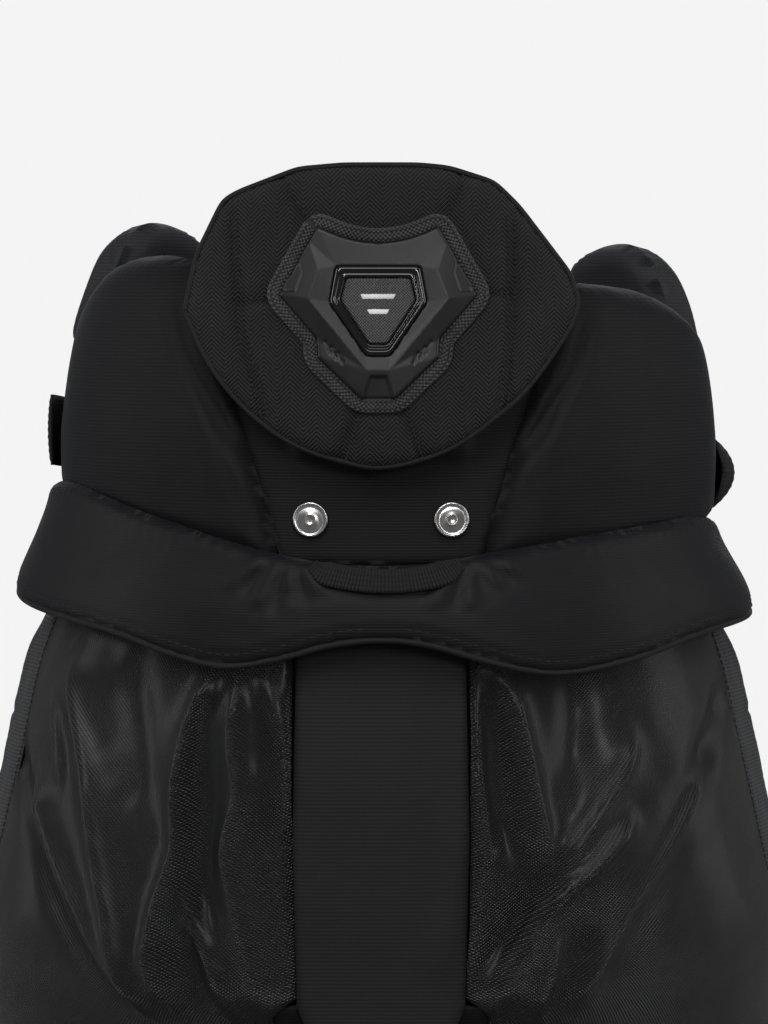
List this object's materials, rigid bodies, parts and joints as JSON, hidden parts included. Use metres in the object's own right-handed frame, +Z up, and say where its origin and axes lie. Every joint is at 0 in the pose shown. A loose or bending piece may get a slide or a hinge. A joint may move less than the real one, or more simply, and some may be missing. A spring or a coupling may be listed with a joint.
{
  "type": "ice hockey pants",
  "caption": "Padded ice hockey pants with floating spine guard and moulded shield, kidney and hip pads, rear flap, suspender buttons, belt buckle, laced fly and zipped legs.",
  "frame": {"origin": "bottom centre of the bounding box, on the plane of the leg hems", "axes": "+Z up, +Y the wearer's front, +X the wearer's right"},
  "size_m": [0.4924, 0.3203, 0.66],
  "materials": {
    "smooth_nylon": "smooth woven nylon, faint ribs",
    "mesh_knit": "matte knitted mesh",
    "woven_stretch": "woven stretch, horizontal ribs",
    "guard_fabric": "heavy herringbone weave",
    "foam": "covered foam",
    "pad_plate": "moulded plate",
    "shield_plastic": "satin",
    "shield_gloss": "gloss",
    "nickel_button": "satin nickel",
    "zinc_hardware": "satin",
    "webbing": "ribbed webbing",
    "liner": "brushed liner"
  },
  "bodies": {
    "root": {"left_kidney_pad": "smooth_nylon", "left_hip_pad": "smooth_nylon", "left_waist_pad": "smooth_nylon", "left_belt": "webbing", "left_rear_panel": "mesh_knit", "left_side_panel": "smooth_nylon", "left_front_panel": "smooth_nylon", "left_upper_thigh_pad": "foam", "right_kidney_pad": "smooth_nylon", "right_hip_pad": "smooth_nylon", "right_waist_pad": "smooth_nylon", "right_belt": "webbing", "right_rear_panel": "mesh_knit", "right_side_panel": "smooth_nylon", "right_front_panel": "smooth_nylon", "right_upper_thigh_pad": "foam", "waistband": "liner", "lumbar_panel": "smooth_nylon", "kidney_plates": "pad_plate", "buckle_frame": "zinc_hardware", "buckle_pin": "zinc_hardware", "button_tacks": "zinc_hardware", "seat_panel": "woven_stretch", "fly_tongue": "woven_stretch", "lace_eyelets": "zinc_hardware", "crotch_gusset": "woven_stretch", "tailbone_pad": "foam", "tailbone_plate": "pad_plate"},
    "spine_guard": {"spine_guard_cover": "guard_fabric", "spine_guard_foam": "foam", "shield_trim": "webbing", "spine_shield": "shield_plastic", "shield_bezel": "shield_gloss", "shield_badge": "shield_gloss"},
    "rear_flap": {"rear_flap": "smooth_nylon", "flap_piping": "webbing"},
    "hanger_loop": {"hanger_loop": "webbing"},
    "buckle_lever": {"buckle_lever": "zinc_hardware"},
    "left_hip_wing": {"left_hip_wing": "smooth_nylon", "left_hip_plate": "pad_plate"},
    "left_leg": {"left_leg_shell": "smooth_nylon", "left_leg_hem": "webbing", "left_thigh_pad": "foam", "left_zip_chain": "webbing"},
    "left_zip_slider": {"left_zip_slider": "zinc_hardware"},
    "left_zip_pull": {"left_zip_pull": "zinc_hardware"},
    "left_rear_button": {"left_rear_button": "nickel_button"},
    "left_outer_front_button": {"left_outer_front_button": "nickel_button"},
    "left_inner_front_button": {"left_inner_front_button": "nickel_button"},
    "right_hip_wing": {"right_hip_wing": "smooth_nylon", "right_hip_plate": "pad_plate"},
    "right_leg": {"right_leg_shell": "smooth_nylon", "right_leg_hem": "webbing", "right_thigh_pad": "foam", "right_zip_chain": "webbing"},
    "right_zip_slider": {"right_zip_slider": "zinc_hardware"},
    "right_zip_pull": {"right_zip_pull": "zinc_hardware"},
    "right_rear_button": {"right_rear_button": "nickel_button"},
    "right_outer_front_button": {"right_outer_front_button": "nickel_button"},
    "right_inner_front_button": {"right_inner_front_button": "nickel_button"}
  },
  "joints": [
    {"name": "spine_guard_tilt", "type": "hinge", "parent": "root", "child": "spine_guard", "pos_m": [0, -0.13805, 0.511], "axis": [1, 0, 0], "range_deg": [0, 12], "stiffness_Nm_per_rad": 3},
    {"name": "rear_flap_lift", "type": "hinge", "parent": "root", "child": "rear_flap", "pos_m": [0, -0.13985, 0.4535], "axis": [-1, 0, 0], "range_deg": [0, 5], "stiffness_Nm_per_rad": 3},
    {"name": "hanger_loop_swing", "type": "hinge", "parent": "rear_flap", "child": "hanger_loop", "pos_m": [0, -0.15005, 0.4528], "axis": [-1, 0, 0], "range_deg": [0, 110]},
    {"name": "buckle_lever_open", "type": "hinge", "parent": "root", "child": "buckle_lever", "pos_m": [-0.009, 0.15615, 0.485], "axis": [0, 0, 1], "range_deg": [0, 100]},
    {"name": "left_hip_wing_flex", "type": "hinge", "parent": "root", "child": "left_hip_wing", "pos_m": [-0.174, 0.00515, 0.556], "axis": [0, -1, 0], "range_deg": [0, 10], "stiffness_Nm_per_rad": 2},
    {"name": "left_leg_swing", "type": "hinge", "parent": "root", "child": "left_leg", "pos_m": [-0.121, 0.00515, 0.185], "axis": [1, 0, 0], "range_deg": [-15, 25], "stiffness_Nm_per_rad": 20},
    {"name": "left_zip_slide", "type": "slide", "parent": "left_leg", "child": "left_zip_slider", "axis": [0, 0, -1], "range_m": [0, 0.12]},
    {"name": "left_zip_pull_swing", "type": "hinge", "parent": "left_zip_slider", "child": "left_zip_pull", "pos_m": [-0.0086, 0.00515, 0.15], "axis": [0, -1, 0], "range_deg": [0, 30]},
    {"name": "left_rear_button_turn", "type": "hinge", "parent": "root", "child": "left_rear_button", "pos_m": [-0.037, -0.12355, 0.471], "axis": [-0.1668, -0.986, 0], "continuous": true},
    {"name": "left_outer_front_button_turn", "type": "hinge", "parent": "root", "child": "left_outer_front_button", "pos_m": [-0.076, 0.13332, 0.528], "axis": [-0.3408, 0.9401, 0], "continuous": true},
    {"name": "left_inner_front_button_turn", "type": "hinge", "parent": "root", "child": "left_inner_front_button", "pos_m": [-0.038, 0.14326, 0.528], "axis": [-0.1659, 0.9861, 0], "continuous": true},
    {"name": "right_hip_wing_flex", "type": "hinge", "parent": "root", "child": "right_hip_wing", "pos_m": [0.174, 0.00515, 0.538], "axis": [0, 1, 0], "range_deg": [0, 10], "stiffness_Nm_per_rad": 2},
    {"name": "right_leg_swing", "type": "hinge", "parent": "root", "child": "right_leg", "pos_m": [0.121, 0.00515, 0.185], "axis": [1, 0, 0], "range_deg": [-15, 25], "stiffness_Nm_per_rad": 20},
    {"name": "right_zip_slide", "type": "slide", "parent": "right_leg", "child": "right_zip_slider", "axis": [0, 0, -1], "range_m": [0, 0.12]},
    {"name": "right_zip_pull_swing", "type": "hinge", "parent": "right_zip_slider", "child": "right_zip_pull", "pos_m": [0.0086, 0.00515, 0.15], "axis": [0, 1, 0], "range_deg": [0, 30]},
    {"name": "right_rear_button_turn", "type": "hinge", "parent": "root", "child": "right_rear_button", "pos_m": [0.037, -0.12355, 0.471], "axis": [0.1668, -0.986, 0], "continuous": true},
    {"name": "right_outer_front_button_turn", "type": "hinge", "parent": "root", "child": "right_outer_front_button", "pos_m": [0.076, 0.13332, 0.528], "axis": [0.3408, 0.9401, 0], "continuous": true},
    {"name": "right_inner_front_button_turn", "type": "hinge", "parent": "root", "child": "right_inner_front_button", "pos_m": [0.038, 0.14326, 0.528], "axis": [0.1659, 0.9861, 0], "continuous": true}
  ]
}
